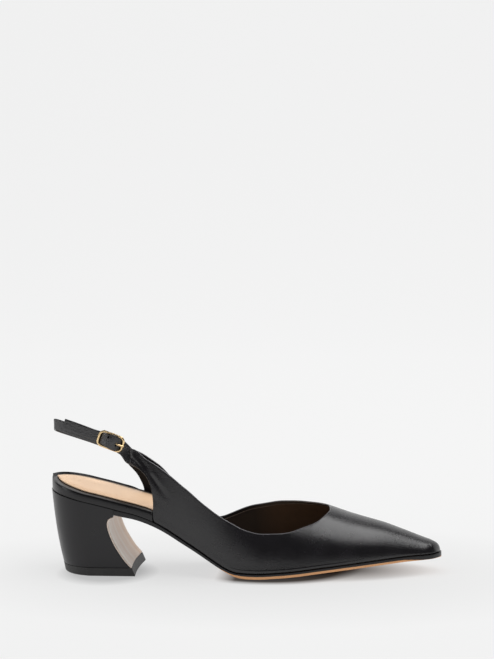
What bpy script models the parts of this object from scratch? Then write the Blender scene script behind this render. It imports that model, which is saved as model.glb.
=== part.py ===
"""Slingback pump, right shoe: black leather, block heel, buckled sling strap.

Metres, +Z up. The origin is the centre of the heel lift's underside, +X runs to the toe and +Y
to the medial (inner) side. The lift and a spot under the ball of the foot stand on z = 0.
"""
import math

import bpy
import bmesh
from mathutils import Vector

# Driving dimensions
SHOE_LENGTH = 0.2585        # back of the heel seat to the tip of the toe
HEEL_OVERHANG = 0.033       # origin back to the rearmost point of the heel seat
SEAT_WIDTH = 0.050          # width of the heel seat
BALL_WIDTH = 0.076          # width of the sole at the ball
HEEL_HEIGHT = 0.0549        # floor to the heel seat, at the back
TOE_SPRING = 0.0132         # floor to the top of the sole at the tip of the toe
INSTEP_HEIGHT = 0.0347      # top of the sole to the throat
ANKLE_HEIGHT = 0.043        # top of the sole to the tips of the quarters
STRAP_HEIGHT = 0.0415       # heel seat to the middle of the strap, at the back

SOLE_THICKNESS = 0.0030
SOLE_CROWN = 0.0020         # how far the edge of the tread lies above its middle
TREAD_FLAT = 0.35           # share of the half width that stays flat under the ball
LIFT_THICKNESS = 0.0055
LIFT_LENGTH = 0.0506
LIFT_WIDTH = 0.0460
HEEL_FRONT = 0.012          # where the sole ends at the top of the heel
BREAST_HOLLOW = 0.0012      # how far the breast is hollowed across
COVER_THICKNESS = 0.0008    # sheet over the breast
FOOTBED_THICKNESS = 0.0060
RIM_RADIUS = 0.0022         # rounded top edge of the footbed
RIM_RISE = 0.0014           # the wrap stands this far above the bed along its medial side
RIM_FADE = 0.020            # share of SHOE_LENGTH over which that ends at the medial notch
SOCK_THICKNESS = 0.0009
SOCK_MARGIN = 0.0038        # rim of the footbed that the sock leaves bare
TOE_ROOM = 0.0085           # the footbed and the sock end this far behind the tip of the toe
UPPER_WALL = 0.0016
FEATHER_INSET = 0.0008      # the sole stands out this far beyond the upper
FOOTBED_INSET = 0.0003      # and beyond the bare part of the footbed
STRAP_WIDTH = 0.0070
STRAP_THICKNESS = 0.0014
BUCKLE_LENGTH = 0.0167      # along the strap, between the middles of the end bars
BUCKLE_WIDTH = 0.0098       # across the strap, between the middles of the side bars
BUCKLE_CORNER = 0.0032
BUCKLE_WIRE = 0.0016
BAR_WIRE = 0.0012           # centre bar and prong
BAR_DROP = 0.0008           # the centre bar lies this far below the end bars
GAP = 0.0003                # between pieces that touch
FEATHER_GAP = 0.0005        # between the sole and the edge of the upper

# Outline of the sole. along: share of SHOE_LENGTH; lateral, medial: half widths, as shares of
# SEAT_WIDTH or BALL_WIDTH.
OUTLINE = (
    # along, lateral, medial, share of
    (0.000, 0.500, 0.500, SEAT_WIDTH),
    (0.100, 0.500, 0.500, SEAT_WIDTH),
    (0.166, 0.498, 0.490, SEAT_WIDTH),
    (0.245, 0.484, 0.454, SEAT_WIDTH),
    (0.320, 0.484, 0.432, SEAT_WIDTH),
    (0.383, 0.346, 0.290, BALL_WIDTH),
    (0.445, 0.396, 0.336, BALL_WIDTH),
    (0.500, 0.448, 0.406, BALL_WIDTH),
    (0.553, 0.480, 0.466, BALL_WIDTH),
    (0.607, 0.482, 0.498, BALL_WIDTH),
    (0.670, 0.458, 0.500, BALL_WIDTH),
    (0.731, 0.412, 0.470, BALL_WIDTH),
    (0.793, 0.346, 0.414, BALL_WIDTH),
    (0.855, 0.266, 0.344, BALL_WIDTH),
    (0.909, 0.192, 0.276, BALL_WIDTH),
    (0.952, 0.136, 0.220, BALL_WIDTH),
    (1.000, 0.080, 0.160, BALL_WIDTH),
)
HEEL_ROUND = 0.100          # share of SHOE_LENGTH over which the heel end is rounded
TOE_ROUND = 0.036

# Side profile. heel, spring: height of the top of the sole at its edge, as shares of HEEL_HEIGHT
# and TOE_SPRING; sole, crown: shares of SOLE_THICKNESS and SOLE_CROWN; bed: share of
# FOOTBED_THICKNESS.
PROFILE = (
    # along, heel, spring, sole, crown, bed
    (0.000, 1.000, 0.000, 1.20, 0.0, 1.25),
    (0.058, 0.949, 0.000, 1.20, 0.0, 1.10),
    (0.112, 0.893, 0.000, 1.20, 0.0, 1.00),
    (0.151, 0.849, 0.000, 1.20, 0.0, 1.00),
    (0.190, 0.801, 0.000, 1.15, 0.1, 1.00),
    (0.228, 0.754, 0.000, 1.00, 0.1, 1.00),
    (0.267, 0.685, 0.000, 0.95, 0.2, 1.10),
    (0.302, 0.594, 0.000, 0.80, 0.3, 1.05),
    (0.340, 0.477, 0.000, 0.72, 0.3, 0.90),
    (0.391, 0.328, 0.000, 0.62, 0.3, 0.72),
    (0.437, 0.180, 0.055, 0.58, 0.4, 0.58),
    (0.472, 0.068, 0.180, 0.60, 0.7, 0.50),
    (0.506, 0.000, 0.375, 1.00, 1.05, 0.46),
    (0.540, 0.000, 0.388, 1.00, 1.15, 0.44),
    (0.595, 0.000, 0.460, 1.00, 1.60, 0.42),
    (0.650, 0.000, 0.560, 1.00, 1.25, 0.40),
    (0.700, 0.000, 0.670, 1.00, 1.05, 0.38),
    (0.754, 0.000, 0.765, 1.00, 0.85, 0.36),
    (0.805, 0.000, 0.840, 1.00, 0.70, 0.36),
    (0.863, 0.000, 0.920, 1.00, 0.55, 0.34),
    (0.921, 0.000, 0.980, 0.98, 0.45, 0.30),
    (1.000, 0.000, 1.000, 0.90, 0.30, 0.26),
)

# Heel block. up: share of its height; back, front: shares of LIFT_LENGTH from the origin; width:
# share of the way from LIFT_WIDTH to SEAT_WIDTH; hollow: share of BREAST_HOLLOW.
HEEL_LEVELS = (
    # up, back, front, width, hollow
    (0.00, 0.519, 0.453, 0.04, 1.0),
    (0.12, 0.544, 0.375, 0.08, 1.0),
    (0.25, 0.568, 0.308, 0.16, 1.0),
    (0.40, 0.592, 0.240, 0.28, 1.0),
    (0.53, 0.609, 0.195, 0.42, 1.0),
    (0.65, 0.622, 0.166, 0.56, 1.0),
    (0.74, 0.631, 0.158, 0.68, 0.9),
    (0.82, 0.638, 0.180, 0.78, 0.6),
    (0.88, 0.643, 0.231, 0.86, 0.2),
    (1.00, 0.652, 0.231, 1.00, 0.0),
)
COVER_TOP = 0.87            # the cover ends here, just below the sole

# The last that the upper is drawn on. along: share of SHOE_LENGTH; across: its ridge, share of
# BALL_WIDTH; instep, ankle: height of the ridge above the sole, as shares of INSTEP_HEIGHT and
# ANKLE_HEIGHT; bulge: share of the half width. Behind the throat the ridge is only a guide.
LAST = (
    # along, across, instep, ankle, bulge
    (0.160, -0.020, 0.000, 1.070, 0.00),
    (0.200, -0.020, 0.000, 1.100, 0.00),
    (0.230, -0.020, 0.000, 1.280, 0.00),
    (0.250, -0.020, 0.000, 1.500, 0.00),
    (0.270, -0.015, 0.000, 1.780, 0.02),
    (0.300, -0.010, 0.000, 2.150, 0.07),
    (0.330, -0.010, 0.000, 2.350, 0.11),
    (0.360, -0.010, 0.000, 2.380, 0.13),
    (0.390, -0.005, 0.000, 2.250, 0.11),
    (0.420, 0.000, 0.250, 1.850, 0.07),
    (0.450, 0.000, 0.750, 1.210, 0.03),
    (0.480, 0.005, 1.150, 0.640, 0.00),
    (0.510, 0.010, 1.350, 0.240, 0.00),
    (0.540, 0.020, 1.410, 0.050, 0.00),
    (0.570, 0.025, 1.370, 0.000, 0.00),
    (0.600, 0.030, 1.285, 0.000, 0.00),
    (0.630, 0.030, 1.205, 0.000, 0.00),
    (0.660, 0.025, 1.118, 0.000, 0.00),
    (0.690, 0.022, 1.036, 0.000, 0.00),
    (0.7185, 0.025, 0.950, 0.000, 0.00),
    (0.762, 0.033, 0.808, 0.000, 0.00),
    (0.808, 0.042, 0.680, 0.000, 0.00),
    (0.857, 0.050, 0.550, 0.000, 0.00),
    (0.901, 0.053, 0.410, 0.000, 0.00),
    (0.932, 0.053, 0.316, 0.000, 0.00),
    (0.955, 0.052, 0.250, 0.000, 0.00),
    (0.970, 0.052, 0.212, 0.000, 0.00),
    (0.982, 0.052, 0.178, 0.000, 0.00),
    (0.990, 0.052, 0.142, 0.000, 0.00),
    (0.9945, 0.052, 0.104, 0.000, 0.00),
    (0.997, 0.052, 0.001, 0.000, 0.00),
)
FULLNESS = 0.56             # of the last's sections: length of their handles

# Lines over the vamp, tip of the toe to the throat, from the feather edge to the ridge. Both are
# shares of SHOE_LENGTH.
VAMP = (
    # foot, along
    (0.994, 0.962),
    (0.988, 0.950),
    (0.975, 0.932),
    (0.937, 0.901),
    (0.892, 0.857),
    (0.846, 0.810),
    (0.802, 0.765),
    (0.762, 0.7170),
)

# Lines over the sides behind the throat. foot, lift: lower edge, as shares of SHOE_LENGTH and of
# ANKLE_HEIGHT above the sole; along, instep, ankle: topline, as shares of SHOE_LENGTH, and of
# INSTEP_HEIGHT and ANKLE_HEIGHT above the sole.
LATERAL_SIDE = (
    # foot, lift, along, instep, ankle
    (0.744, 0.000, 0.7190, 0.936, 0.000),
    (0.722, 0.000, 0.7175, 0.920, 0.000),
    (0.695, 0.000, 0.7080, 0.880, 0.000),
    (0.665, 0.000, 0.6880, 0.807, 0.000),
    (0.632, 0.000, 0.6560, 0.758, 0.000),
    (0.598, 0.000, 0.6230, 0.713, 0.000),
    (0.562, 0.000, 0.5890, 0.714, 0.000),
    (0.525, 0.000, 0.5540, 0.730, 0.000),
    (0.488, 0.000, 0.5200, 0.783, 0.000),
    (0.448, 0.000, 0.4810, 0.890, 0.000),
    (0.405, 0.000, 0.4360, 0.000, 0.752),
    (0.362, 0.000, 0.3910, 0.000, 0.786),
    (0.318, 0.000, 0.3480, 0.000, 0.839),
    (0.277, 0.000, 0.3110, 0.000, 0.874),
    (0.275, 0.263, 0.2820, 0.000, 0.891),
    (0.269, 0.526, 0.2570, 0.000, 0.899),
    (0.249, 0.679, 0.2320, 0.000, 0.922),
    (0.218, 0.760, 0.2110, 0.000, 0.949),
)
MEDIAL_SIDE = (
    # foot, lift, along, instep, ankle
    (0.740, 0.000, 0.7120, 0.950, 0.000),
    (0.714, 0.000, 0.7010, 0.952, 0.000),
    (0.682, 0.000, 0.6780, 0.978, 0.000),
    (0.644, 0.000, 0.6430, 1.006, 0.000),
    (0.602, 0.000, 0.6000, 1.020, 0.000),
    (0.558, 0.000, 0.5550, 1.003, 0.000),
    (0.514, 0.000, 0.5110, 0.950, 0.000),
    (0.472, 0.000, 0.4700, 0.812, 0.000),
    (0.430, 0.000, 0.4330, 0.564, 0.000),
    (0.391, 0.000, 0.3970, 0.385, 0.000),
    (0.352, 0.000, 0.3660, 0.000, 0.270),
    (0.313, 0.000, 0.3380, 0.000, 0.355),
    (0.273, 0.000, 0.3150, 0.000, 0.467),
    (0.232, 0.000, 0.2920, 0.000, 0.577),
    (0.227, 0.186, 0.2710, 0.000, 0.649),
    (0.216, 0.342, 0.2480, 0.000, 0.700),
    (0.200, 0.488, 0.2220, 0.000, 0.768),
    (0.178, 0.625, 0.1950, 0.000, 0.836),
)

NOTCHES = (0.2728, 0.2258)  # where the footbed narrows between the quarters, lateral and medial

# Ends of the straps, which lie inside the quarters. along: share of SHOE_LENGTH; ankle: height of
# the strap's middle above the sole, as a share of ANKLE_HEIGHT.
SLING_LAP = ((0.222, 0.604), (0.204, 0.660), (0.186, 0.745))
TAIL_LAP = ((0.234, 0.812), (0.223, 0.838), (0.212, 0.860))

# Route of the sling's middle. along: share of SHOE_LENGTH; across: share of SEAT_WIDTH, medial side
# positive; up: height as a share of STRAP_HEIGHT above the rear end of the heel seat.
SLING_ROUTE = (
    # along, across, up
    (0.166, 0.240, 0.600),
    (0.147, 0.218, 0.655),
    (0.108, 0.182, 0.752),
    (0.070, 0.150, 0.840),
    (0.036, 0.108, 0.920),
    (0.019, 0.055, 0.972),
    (0.012, -0.015, 1.020),
    (0.017, -0.095, 1.048),
    (0.042, -0.160, 1.018),
    (0.064, -0.184, 0.976),
    (0.090, -0.200, 0.920),
    (0.113, -0.208, 0.868),
)
BUCKLE_PLACE = (0.1636, -0.278, 0.817)
BUCKLE_TILT = 20.5          # fall of the buckle towards the toe, in degrees
TAIL_ROWS = 4               # rows of the sling's route that the free tail lies on
TAIL_SHIFT = 0.0024         # the tail lies this much higher than the strap under it

STEPS = 2                   # columns between two sections
ROWS = 8                    # steps from the lower edge of the upper to the top
ROUTE_STEPS = 3


def steady(table, column, at):
    """Reads a column of a table at a place, without overshoot between its rows."""
    keys = [row[0] for row in table]
    values = [row[column] for row in table]
    at = min(max(at, keys[0]), keys[-1])
    last = len(keys) - 2
    i = next(k for k in range(last + 1) if at <= keys[k + 1] or k == last)
    slopes = [(values[k + 1] - values[k]) / (keys[k + 1] - keys[k]) for k in range(last + 1)]

    def tangent(k):
        if k in (0, last + 1):
            return slopes[min(k, last)]
        a, b = slopes[k - 1], slopes[k]
        return 2 * a * b / (a + b) if a * b > 0 else 0.0

    width = keys[i + 1] - keys[i]
    t = (at - keys[i]) / width
    return ((2 * t ** 3 - 3 * t ** 2 + 1) * values[i] + (t ** 3 - 2 * t ** 2 + t) * width * tangent(i)
            + (3 * t ** 2 - 2 * t ** 3) * values[i + 1] + (t ** 3 - t ** 2) * width * tangent(i + 1))


def fair(rows, steps):
    """Fills in rows between the given ones with a smooth curve through them."""
    filled = []
    for i in range(len(rows) - 1):
        before, start, end, after = (rows[min(max(k, 0), len(rows) - 1)] for k in range(i - 1, i + 3))
        for step in range(steps):
            t = step / steps
            filled.append(tuple(
                0.5 * (2 * b + (c - a) * t + (2 * a - 5 * b + 4 * c - d) * t ** 2
                       + (3 * b - a - 3 * c + d) * t ** 3)
                for a, b, c, d in zip(before, start, end, after)))
    return filled + [tuple(rows[-1])]


def place(along):
    return along * SHOE_LENGTH - HEEL_OVERHANG


def share(x):
    return (x + HEEL_OVERHANG) / SHOE_LENGTH


WIDTHS = tuple((row[0], row[1] * row[3], row[2] * row[3]) for row in OUTLINE)


def half_widths(along, inset=0.0):
    """Edges of the outline at a place: y of the lateral and of the medial side."""
    lateral, medial = steady(WIDTHS, 1, along), steady(WIDTHS, 2, along)
    middle, half = (medial - lateral) / 2, (medial + lateral) / 2
    heel_end = min((along - inset / SHOE_LENGTH) / HEEL_ROUND, 1.0)
    toe_end = min((1 - along - inset / SHOE_LENGTH) / TOE_ROUND, 1.0)
    for end in (heel_end, toe_end):
        half *= math.sqrt(max(1 - (1 - max(end, 0.0)) ** 2, 0.0))
    half = max(half - inset * (1 if half > inset else 0), 0.0)
    return middle - half, middle + half


def sole_top(along):
    return steady(PROFILE, 1, along) * HEEL_HEIGHT + steady(PROFILE, 2, along) * TOE_SPRING


def material(name, colour, roughness, metallic=0.0):
    made = bpy.data.materials.new(name)
    made.use_nodes = True
    shader = made.node_tree.nodes["Principled BSDF"]
    shader.inputs["Base Color"].default_value = (*colour, 1.0)
    shader.inputs["Roughness"].default_value = roughness
    shader.inputs["Metallic"].default_value = metallic
    return made


def finish(name, bm, look, closed=True):
    """Turns a bmesh into a named object with its own material, its faces pointing out."""
    if closed:
        bmesh.ops.recalc_face_normals(bm, faces=bm.faces)
        if bm.calc_volume(signed=True) < 0:
            bmesh.ops.reverse_faces(bm, faces=bm.faces)
    mesh = bpy.data.meshes.new(name)
    bm.to_mesh(mesh)
    bm.free()
    mesh.shade_smooth()
    mesh.set_sharp_from_angle(angle=math.radians(35))
    mesh.materials.append(look)
    made = bpy.data.objects.new(name, mesh)
    bpy.context.collection.objects.link(made)
    return made


def loft(rings, strips=False):
    """Joins equal rings of points into one closed skin, with a face on each end."""
    bm = bmesh.new()
    lines = [[bm.verts.new(point) for point in ring] for ring in rings]
    count = len(rings[0])
    for line, after in zip(lines, lines[1:]):
        for k in range(count):
            n = (k + 1) % count
            bm.faces.new((line[k], line[n], after[n], after[k]))
    bm.faces.new(lines[0])
    if strips:
        strip_cap(bm, lines[-1])
    else:
        bm.faces.new(lines[-1])
    return bm


def stations(start, end, spacing=0.0055, round_start=0.0, round_end=0.0):
    """Places along the shoe: evenly spaced, and closer together on rounded ends."""
    sweep = [1 - math.cos(math.radians(angle)) for angle in (4, 13, 26, 40, 55, 72)]
    head = [start + round_start * s for s in sweep] if round_start else [start]
    tail = [end - round_end * s for s in reversed(sweep)] if round_end else [end]
    first, last = head[-1], tail[0]
    count = max(round((last - first) * SHOE_LENGTH / spacing), 1)
    return head + [first + (last - first) * k / count for k in range(1, count)] + tail


def outsole():
    """Sole from the heel to the toe: flat top, crowned tread with a flat spot under the ball."""
    across = (1.0, 0.9, 0.75, 0.55, TREAD_FLAT, 0.0)
    rings = []
    for along in stations(share(HEEL_FRONT + GAP), 1.0, round_end=TOE_ROUND):
        lateral, medial = half_widths(along)
        middle, half = (lateral + medial) / 2, (medial - lateral) / 2
        top = sole_top(along)
        crown = steady(PROFILE, 4, along) * SOLE_CROWN
        edge = top - steady(PROFILE, 3, along) * SOLE_THICKNESS
        under = []
        for part in across:
            rise = max(part - TREAD_FLAT, 0) / (1 - TREAD_FLAT)
            under.append((part * half, edge + (max(edge - crown, 0.0) - edge) * (1 - rise ** 2)))
        ring = [(-half, top), (-half / 2, top), (0.0, top), (half / 2, top), (half, top)]
        ring += under + [(-y, z) for y, z in reversed(under[:-1])]
        x = place(along)
        rings.append([(x, middle + y, z) for y, z in ring])
    return loft(rings)


def heel_outline(back, front, half, hollow):
    """D-shaped outline of the heel, from the middle of its back round to the other side."""
    turn = -back + half
    side = [(turn - half * math.cos(math.radians(a)), half * math.sin(math.radians(a)))
            for a in range(0, 91, 10)]
    middle = (turn + front) / 2
    side += [(middle, half), (front, half), (front - hollow * 0.75, half / 2)]
    return side + [(front - hollow, 0.0)] + [(x, -y) for x, y in reversed(side[1:])]


def heel_level(up, set_back=0.0):
    back = steady(HEEL_LEVELS, 1, up) * LIFT_LENGTH
    front = steady(HEEL_LEVELS, 2, up) * LIFT_LENGTH
    half = (LIFT_WIDTH + steady(HEEL_LEVELS, 3, up) * (SEAT_WIDTH - LIFT_WIDTH)) / 2
    covered = set_back if up < COVER_TOP else 0.0
    return back, front - covered, half, steady(HEEL_LEVELS, 4, up) * BREAST_HOLLOW


def heel_height(x, up):
    """Height of a level of the heel: level below, following the slope of the seat on top."""
    bottom = LIFT_THICKNESS + GAP
    return bottom + up * (sole_top(share(x)) - bottom)


def strip_cap(bm, line):
    """Closes a ring that is the same on both sides with strips across it."""
    count = len(line)
    corner = count // 2 - 2
    bm.faces.new((line[0], line[1], line[-1]))
    for k in range(1, corner - 1):
        bm.faces.new((line[k], line[k + 1], line[count - k - 1], line[count - k]))
    bm.faces.new([line[k] for k in range(corner - 1, count - corner + 2)])


def heel_block():
    set_back = COVER_THICKNESS + GAP
    ups = (0.0, 0.06, 0.12, 0.2, 0.3, 0.4, 0.5, 0.6, 0.68, 0.75, 0.81, COVER_TOP - 0.001,
           COVER_TOP, 0.94, 1.0)
    rings = []
    for up in ups:
        outline = heel_outline(*heel_level(up, set_back))
        rings.append([(x, y, heel_height(x, up)) for x, y in outline])
    return loft(rings, strips=True)


def breast_cover():
    """Thin sheet down the breast, as wide as the heel, its upper end just below the sole."""
    rings = []
    for k in range(15):
        up = COVER_TOP * k / 14 - 0.004 * (k == 14)
        back, front, half, hollow = heel_level(up)
        face = []
        for part in (-1.0, -0.5, 0.0, 0.5, 1.0):
            x = front - hollow * (1 - part ** 2)
            face.append((x, part * half, heel_height(x, up)))
        behind = [(x - COVER_THICKNESS, y, z) for x, y, z in reversed(face)]
        rings.append(face + behind)
    return loft(rings)


def top_lift():
    half, back = LIFT_WIDTH / 2, LIFT_LENGTH / 2
    top = heel_level(0.0)
    rings = []
    for z, grow in ((0.0, -0.0004), (0.0005, 0.0), (LIFT_THICKNESS, 0.0)):
        t = z / LIFT_THICKNESS
        outline = heel_outline(back + grow + t * (top[0] - back), back + grow + t * (top[1] - back),
                               half + grow + t * (top[2] - half), BREAST_HOLLOW)
        rings.append([(x, y, z) for x, y in outline])
    return loft(rings)


INNER_INSET = FEATHER_INSET + UPPER_WALL + 4 * GAP


def footbed():
    """Wrapped board: full width behind the quarters, between the walls of the upper ahead."""
    places = stations(FOOTBED_INSET / SHOE_LENGTH, 1 - TOE_ROOM / SHOE_LENGTH, 0.0055, HEEL_ROUND)
    places = sorted(places + [notch + step for notch in NOTCHES for step in (-0.0002, 0.0002)])
    rings = []
    for along in places:
        insets = [INNER_INSET if along > notch else FOOTBED_INSET for notch in NOTCHES]
        left, right = half_widths(along, insets[0])[0], half_widths(along, insets[1])[1]
        low = sole_top(along) + GAP
        thick = steady(PROFILE, 5, along) * FOOTBED_THICKNESS
        edge = min(RIM_RADIUS, 0.6 * thick, 0.35 * (right - left))
        rim = min(SOCK_MARGIN - FOOTBED_INSET - GAP, 0.45 * (right - left))
        rise = RIM_RISE * min(max((NOTCHES[1] - along) / RIM_FADE, 0.0), 1.0)
        sides = [[(0.0, low), (0.0, low + thick + up - edge), (0.3 * edge, low + thick + up - 0.3 * edge),
                  (edge, low + thick + up), (rim, low + thick)] for up in (0.0, rise)]
        ring = [(left + y, z) for y, z in sides[0]] + [(right - y, z) for y, z in reversed(sides[1])]
        ring.append(((left + right) / 2, low))
        rings.append([(place(along), y, z) for y, z in ring])
    return loft(rings)


def bed_top(along):
    return sole_top(along) + GAP + steady(PROFILE, 5, along) * FOOTBED_THICKNESS


def insole_sock():
    rings = []
    for along in stations(SOCK_MARGIN / SHOE_LENGTH, 1 - TOE_ROOM / SHOE_LENGTH, 0.0055, HEEL_ROUND):
        left, right = half_widths(along, SOCK_MARGIN)
        low = bed_top(along) + GAP
        edge = min(SOCK_THICKNESS / 2, 0.3 * (right - left))
        ring = ((left, low), (left, low + edge), (left + edge, low + SOCK_THICKNESS),
                (right - edge, low + SOCK_THICKNESS), (right, low + edge), (right, low))
        rings.append([(place(along), y, z) for y, z in ring])
    return loft(rings)


def last_rise(along):
    return steady(LAST, 2, along) * INSTEP_HEIGHT + steady(LAST, 3, along) * ANKLE_HEIGHT


def climb(t):
    """Share of the ridge's height that a section reaches at t of the way up its curve."""
    return 3 * t * (1 - t) ** 2 * FULLNESS + 3 * t * t * (1 - t) + t ** 3


def way_up(along, height):
    """How far up a section, from 0 at the feather edge to 1 at the ridge, lies a height."""
    wanted = min(height / last_rise(along), 1.0)
    low, high = 0.0, 1.0
    for _ in range(30):
        middle = (low + high) / 2
        low, high = (middle, high) if climb(middle) < wanted else (low, middle)
    return low


def on_last(along, t, sign):
    """A point of the last's skin, given along the shoe and up its section."""
    along = min(along, 1 - FEATHER_INSET / SHOE_LENGTH)
    edge = half_widths(along, FEATHER_INSET)[0 if sign < 0 else 1]
    ridge = steady(LAST, 1, along) * BALL_WIDTH
    half = edge - ridge
    wall = edge + half * steady(LAST, 4, along)
    y = ((1 - t) ** 3 * edge + 3 * t * (1 - t) ** 2 * wall
         + 3 * t * t * (1 - t) * (ridge + half * FULLNESS) + t ** 3 * ridge)
    return Vector((place(along), y, sole_top(along) + FEATHER_GAP + climb(t) * last_rise(along)))


def topline_way(row):
    return way_up(row[2], row[3] * INSTEP_HEIGHT + row[4] * ANKLE_HEIGHT)


def upper_lines(side, other):
    """Lines of one half of the upper on the last: lower end, its way up, upper end, its way up."""
    vamp = [(foot, 0.0, along, 1.0) for foot, along in VAMP]
    over_throat = (VAMP[-2][0], 0.0, other[0][2], 2.0 - topline_way(other[0]))
    lines = [over_throat, vamp[-1]]
    lines += [(row[0], way_up(row[0], row[1] * ANKLE_HEIGHT), row[2], topline_way(row)) for row in side]
    filled = fair(vamp, STEPS)[:-1] + fair(lines, STEPS)[STEPS:]
    tip = (1.0, 1.0, VAMP[0][1], 1.0)
    return [tip] + [(a, min(max(b, 0.0), 1.0), c, min(max(d, 0.0), 1.0)) for a, b, c, d in filled]


def upper():
    """Outer skin of the vamp and quarters. A Solidify modifier gives it its wall."""
    bm = bmesh.new()
    shared = {}
    throat = 1 + (len(VAMP) - 1) * STEPS
    for side, other, sign in ((LATERAL_SIDE, MEDIAL_SIDE, -1), (MEDIAL_SIDE, LATERAL_SIDE, 1)):
        lines = []
        for i, (foot, low, along, high) in enumerate(upper_lines(side, other)):
            line = []
            for k in range(ROWS + 1):
                t = k / ROWS
                key = (i, k) if i == 0 or (k == ROWS and i <= throat) else (sign, i, k)
                if k == ROWS and i == 1:
                    key = (0, k)
                if key not in shared:
                    shared[key] = bm.verts.new(
                        on_last(foot + t * (along - foot), low + t * (high - low), sign))
                line.append(shared[key])
            lines.append(line)
        for line, after in zip(lines, lines[1:]):
            for k in range(ROWS):
                corners = (line[k], line[k + 1], after[k + 1], after[k])
                corners = corners[::-1] if sign > 0 else corners
                bm.faces.new([c for n, c in enumerate(corners) if c not in corners[:n]])
    bm.normal_update()
    return bm


def band(route, width, thickness):
    """A strap: a flat band with rounded edges along a route of points with upward directions."""
    profile = ((-1, -0.4), (-0.86, -1), (0, -1), (0.86, -1), (1, -0.4),
               (1, 0.4), (0.86, 1), (0, 1), (-0.86, 1), (-1, 0.4))
    rings = []
    middles = [Vector(row[:3]) for row in route]
    for k, middle in enumerate(middles):
        ahead = (middles[min(k + 1, len(middles) - 1)] - middles[max(k - 1, 0)]).normalized()
        up = Vector(route[k][3:])
        up = (up - ahead * ahead.dot(up)).normalized()
        out = ahead.cross(up)
        rings.append([middle + up * (a * width / 2) + out * (b * thickness / 2) for a, b in profile])
    return loft(rings)


def lapped(rows, sign):
    """Points of a strap that lies against the inside of a quarter."""
    depth = UPPER_WALL + STRAP_THICKNESS / 2 + 3 * GAP
    points = []
    for along, ankle in rows:
        t = way_up(along, ankle * ANKLE_HEIGHT)
        skin = on_last(along, t, sign)
        up = (on_last(along, t + 0.02, sign) - skin).normalized()
        inwards = Vector((0.0, -sign * up.z, sign * up.y))
        points.append((*(skin + inwards * depth), *up))
    return points


def route_points(rows):
    return [Vector((place(along), across * SEAT_WIDTH, HEEL_HEIGHT + up * STRAP_HEIGHT))
            for along, across, up in rows]


def at_buckle(along, out, up=0.0):
    """A point given along, out from and up across the buckle."""
    tilt = math.radians(BUCKLE_TILT)
    centre = route_points((BUCKLE_PLACE,))[0]
    return centre + Vector((along * math.cos(tilt) + up * math.sin(tilt), -out,
                            up * math.cos(tilt) - along * math.sin(tilt)))


def buckle_layers():
    """Heights, out from the buckle, of the straps' middles under an end bar."""
    tail = -(BUCKLE_WIRE + STRAP_THICKNESS) / 2 - GAP
    return tail, tail - STRAP_THICKNESS - GAP


def standing(points):
    """Points of a strap that stands on edge."""
    return [(*point, 0.0, 0.0, 1.0) for point in points]


def in_buckle(points):
    """Points of a strap that lies square in the buckle, given as for at_buckle."""
    across = at_buckle(0.0, 0.0, 1.0) - at_buckle(0.0, 0.0)
    return [(*at_buckle(*point), *across) for point in points]


def sling_route():
    """From inside the inner quarter's tip round the heel, then folded round the centre bar."""
    fold = (BAR_WIRE + STRAP_THICKNESS) / 2 + GAP
    under_tail = buckle_layers()[1]
    end = BUCKLE_LENGTH / 2
    turn = [math.radians(angle) for angle in (-8, 30, 65, 100, 135, 170)]
    rows = lapped(SLING_LAP, 1) + standing(route_points(SLING_ROUTE))
    rows += in_buckle([(-end, under_tail, -0.0010), (-end * 0.55, under_tail * 0.55, -0.0002)]
                      + [(fold * math.sin(a), fold * math.cos(a) - BAR_DROP) for a in turn]
                      + [(-end * 0.4, -fold - BAR_DROP - 0.0012), (-end * 0.7, under_tail - 0.0022)])
    return fair(rows, ROUTE_STEPS)


def tail_route():
    """From inside the outer quarter's tip through the buckle, then along the sling's outer face."""
    under_end = buckle_layers()[0]
    over_bar = 2 * GAP + BAR_WIRE / 2 + STRAP_THICKNESS * 1.5 - BAR_DROP
    end = BUCKLE_LENGTH / 2
    rows = lapped(TAIL_LAP, -1)
    rows += in_buckle([(end, under_end, -0.0008), (end * 0.45, over_bar * 0.45), (0.0, over_bar),
                       (-end * 0.5, over_bar * 0.4), (-end, under_end)])
    sling = route_points(SLING_ROUTE)
    for k in range(len(sling) - 1, len(sling) - 1 - TAIL_ROWS, -1):
        ahead = (sling[min(k + 1, len(sling) - 1)] - sling[k - 1]).normalized()
        up = (Vector((0, 0, 1)) - ahead * ahead.z).normalized()
        out = ahead.cross(up)
        out = out if out.y < 0 else -out
        rows += standing([sling[k] + out * (STRAP_THICKNESS + GAP) + up * TAIL_SHIFT])
    return fair(rows, ROUTE_STEPS)


def tube(points, radius, closed=False, sides=10):
    """A wire of round section along a line of points."""
    rings = []
    count = len(points)
    for k, point in enumerate(points):
        after = points[(k + 1) % count] if closed else points[min(k + 1, count - 1)]
        before = points[k - 1] if closed else points[max(k - 1, 0)]
        ahead = (after - before).normalized()
        out = Vector((0, -1, 0))
        across = ahead.cross(out).normalized()
        out = across.cross(ahead)
        rings.append([point + (across * math.cos(a) + out * math.sin(a)) * radius
                      for a in (math.tau * n / sides for n in range(sides))])
    if not closed:
        return loft(rings)
    bm = bmesh.new()
    lines = [[bm.verts.new(point) for point in ring] for ring in rings]
    for k, line in enumerate(lines):
        after = lines[(k + 1) % count]
        for n in range(sides):
            m = (n + 1) % sides
            bm.faces.new((line[n], line[m], after[m], after[n]))
    return bm


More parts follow.
